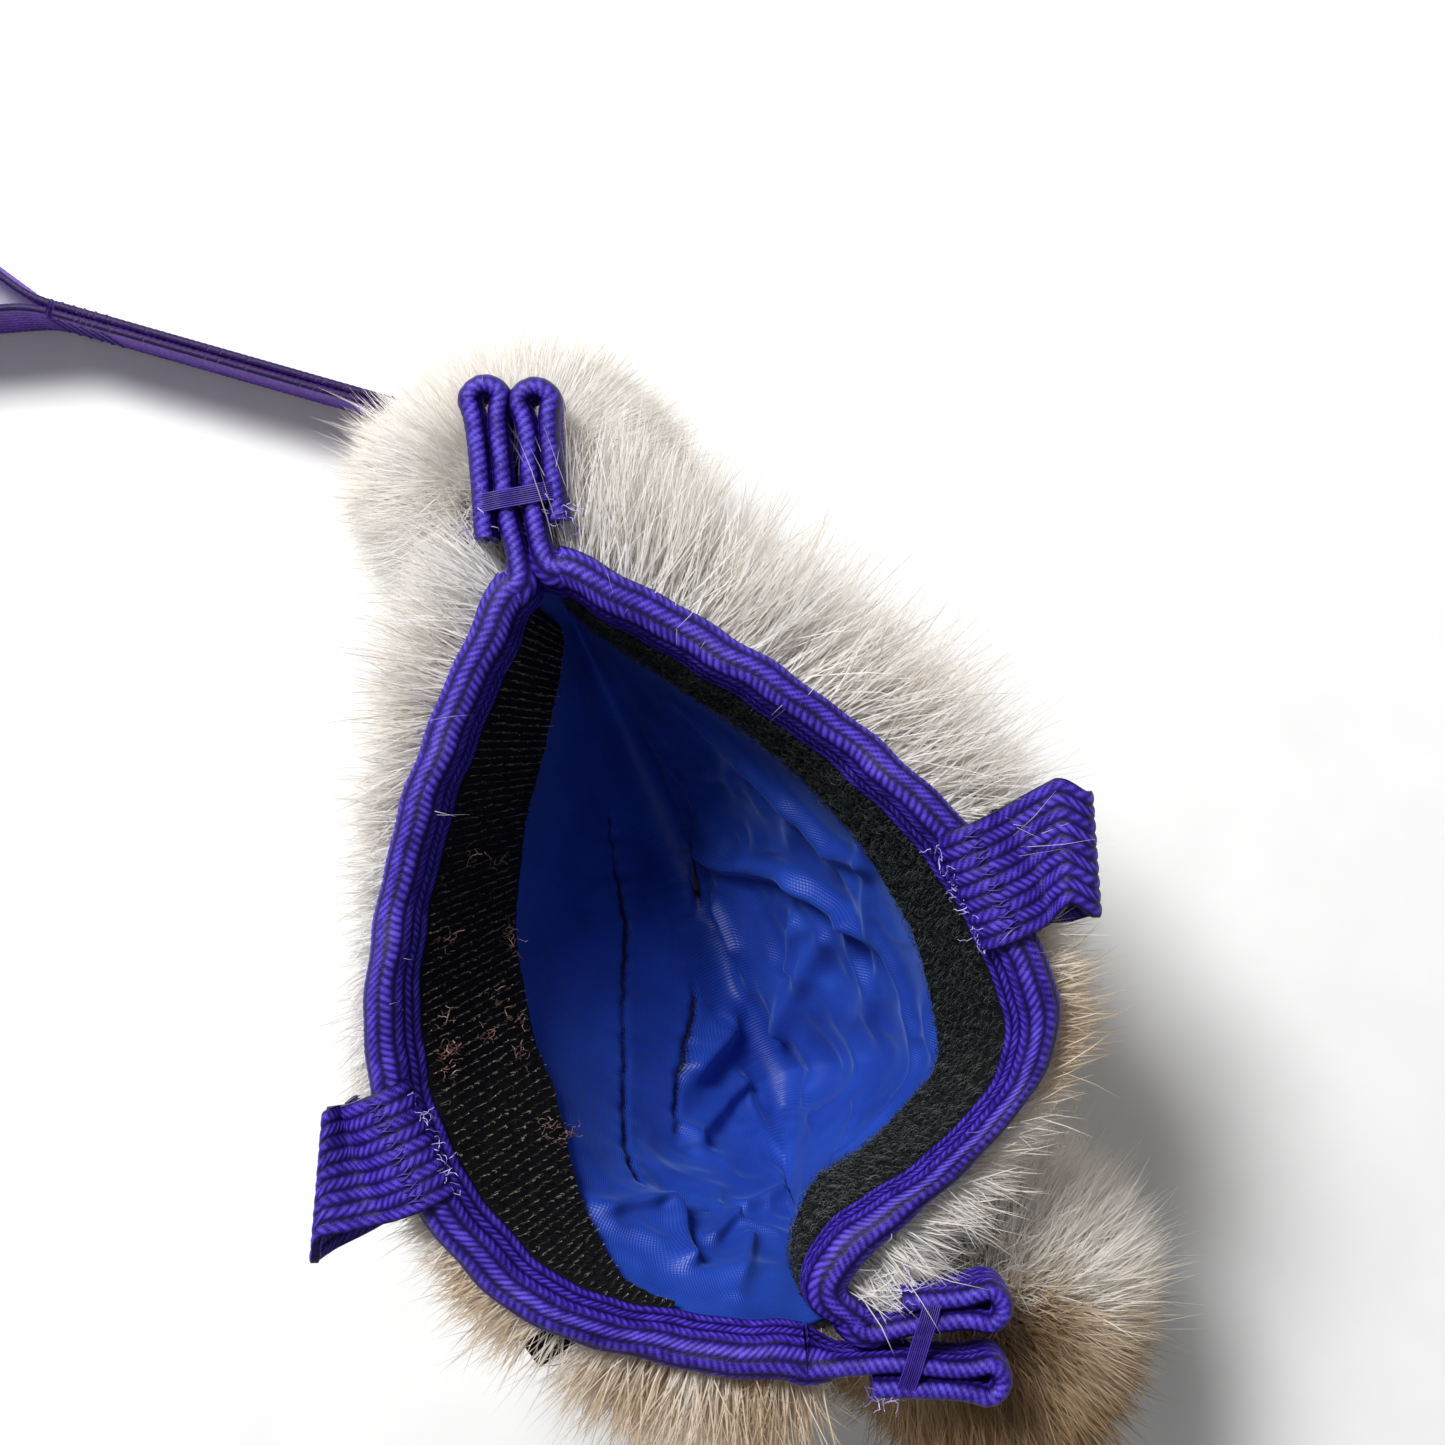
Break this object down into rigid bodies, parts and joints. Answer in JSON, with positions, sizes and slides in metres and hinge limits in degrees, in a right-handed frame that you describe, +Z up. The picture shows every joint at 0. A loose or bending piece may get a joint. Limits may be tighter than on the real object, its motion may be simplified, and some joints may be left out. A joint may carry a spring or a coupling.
{
  "type": "fur treat pouch with tug handle",
  "caption": "Fur-covered treat pouch standing open: webbing-bound hook-and-loop mouth, nylon lining, pull tabs and a webbing tug handle.",
  "frame": {"origin": "on the table, under the middle of the pouch's bottom strip, on the base_rest face", "axes": "+Z up out of the open mouth, +Y along the mouth towards the end with the handle, +X towards the lip with the loop tape"},
  "size_m": [0.2786, 0.4228, 0.1179],
  "materials": {
    "fur_hide": "long soft fur, white to tan",
    "lining_nylon": "satin woven nylon",
    "hook_tape": "rows of small stiff hooks",
    "loop_tape": "brushed fuzzy loops",
    "webbing": "knitted herringbone webbing, slight sheen",
    "thread": "sewing thread",
    "label": "blank woven tape"
  },
  "bodies": {
    "root": {"hook_hide_top": "fur_hide", "hook_lining_top": "lining_nylon", "hook_tape_top": "hook_tape", "hook_binding_top": "webbing", "hook_hide_low": "fur_hide", "hook_lining_low": "lining_nylon", "hook_tape_low": "hook_tape", "hook_binding_low": "webbing", "hook_seam_roll": "lining_nylon", "loop_hide_top": "fur_hide", "loop_lining_top": "lining_nylon", "loop_tape_top": "loop_tape", "loop_binding_top": "webbing", "loop_hide_low": "fur_hide", "loop_lining_low": "lining_nylon", "loop_tape_low": "loop_tape", "loop_binding_low": "webbing", "loop_seam_roll": "lining_nylon", "base_hide": "fur_hide", "base_lining": "lining_nylon", "top_end_hide": "fur_hide", "low_end_hide": "fur_hide", "top_ear_hook_fold": "webbing", "top_ear_loop_fold": "webbing", "top_ear_bartack": "thread", "low_ear_hook_fold": "webbing", "low_ear_loop_fold": "webbing", "low_ear_bartack": "thread", "side_label": "label", "handle_anchor": "webbing"},
    "hook_lip": {"hook_hide_mid": "fur_hide", "hook_lining_mid": "lining_nylon", "hook_tape_mid": "hook_tape", "hook_binding_mid": "webbing", "hook_tab_anchor": "webbing"},
    "loop_lip": {"loop_hide_mid": "fur_hide", "loop_lining_mid": "lining_nylon", "loop_tape_mid": "loop_tape", "loop_binding_mid": "webbing", "loop_tab_anchor": "webbing"},
    "hook_tab_body": {"hook_tab": "webbing"},
    "loop_tab_body": {"loop_tab": "webbing"},
    "handle_neck": {"neck_ply_left": "webbing", "neck_ply_right": "webbing", "neck_stitching": "thread"},
    "hand_loop": {"hand_loop_webbing": "webbing"}
  },
  "joints": [
    {"name": "hook_lip_swing", "type": "hinge", "parent": "root", "child": "hook_lip", "pos_m": [-0.006, -0.012, 0.014], "axis": [0, 1, 0], "range_deg": [-8, 31]},
    {"name": "loop_lip_swing", "type": "hinge", "parent": "root", "child": "loop_lip", "pos_m": [0.006, -0.012, 0.014], "axis": [0, -1, 0], "range_deg": [-8, 26]},
    {"name": "hook_tab_flex", "type": "hinge", "parent": "hook_lip", "child": "hook_tab_body", "pos_m": [-0.0791, -0.011, 0.111], "axis": [0, 1, 0], "range_deg": [-35, 60]},
    {"name": "loop_tab_flex", "type": "hinge", "parent": "loop_lip", "child": "loop_tab_body", "pos_m": [0.0686, -0.008, 0.111], "axis": [0, -1, 0], "range_deg": [-35, 60]},
    {"name": "handle_swing", "type": "hinge", "parent": "root", "child": "handle_neck", "pos_m": [-0.00303, 0.1299, 0.013], "axis": [0, 0, 1], "range_deg": [-35, 35]},
    {"name": "hand_loop_swing", "type": "hinge", "parent": "handle_neck", "child": "hand_loop", "pos_m": [-0.08929, 0.19976, 0.013], "axis": [0, 0, 1], "range_deg": [-40, 40]}
  ]
}
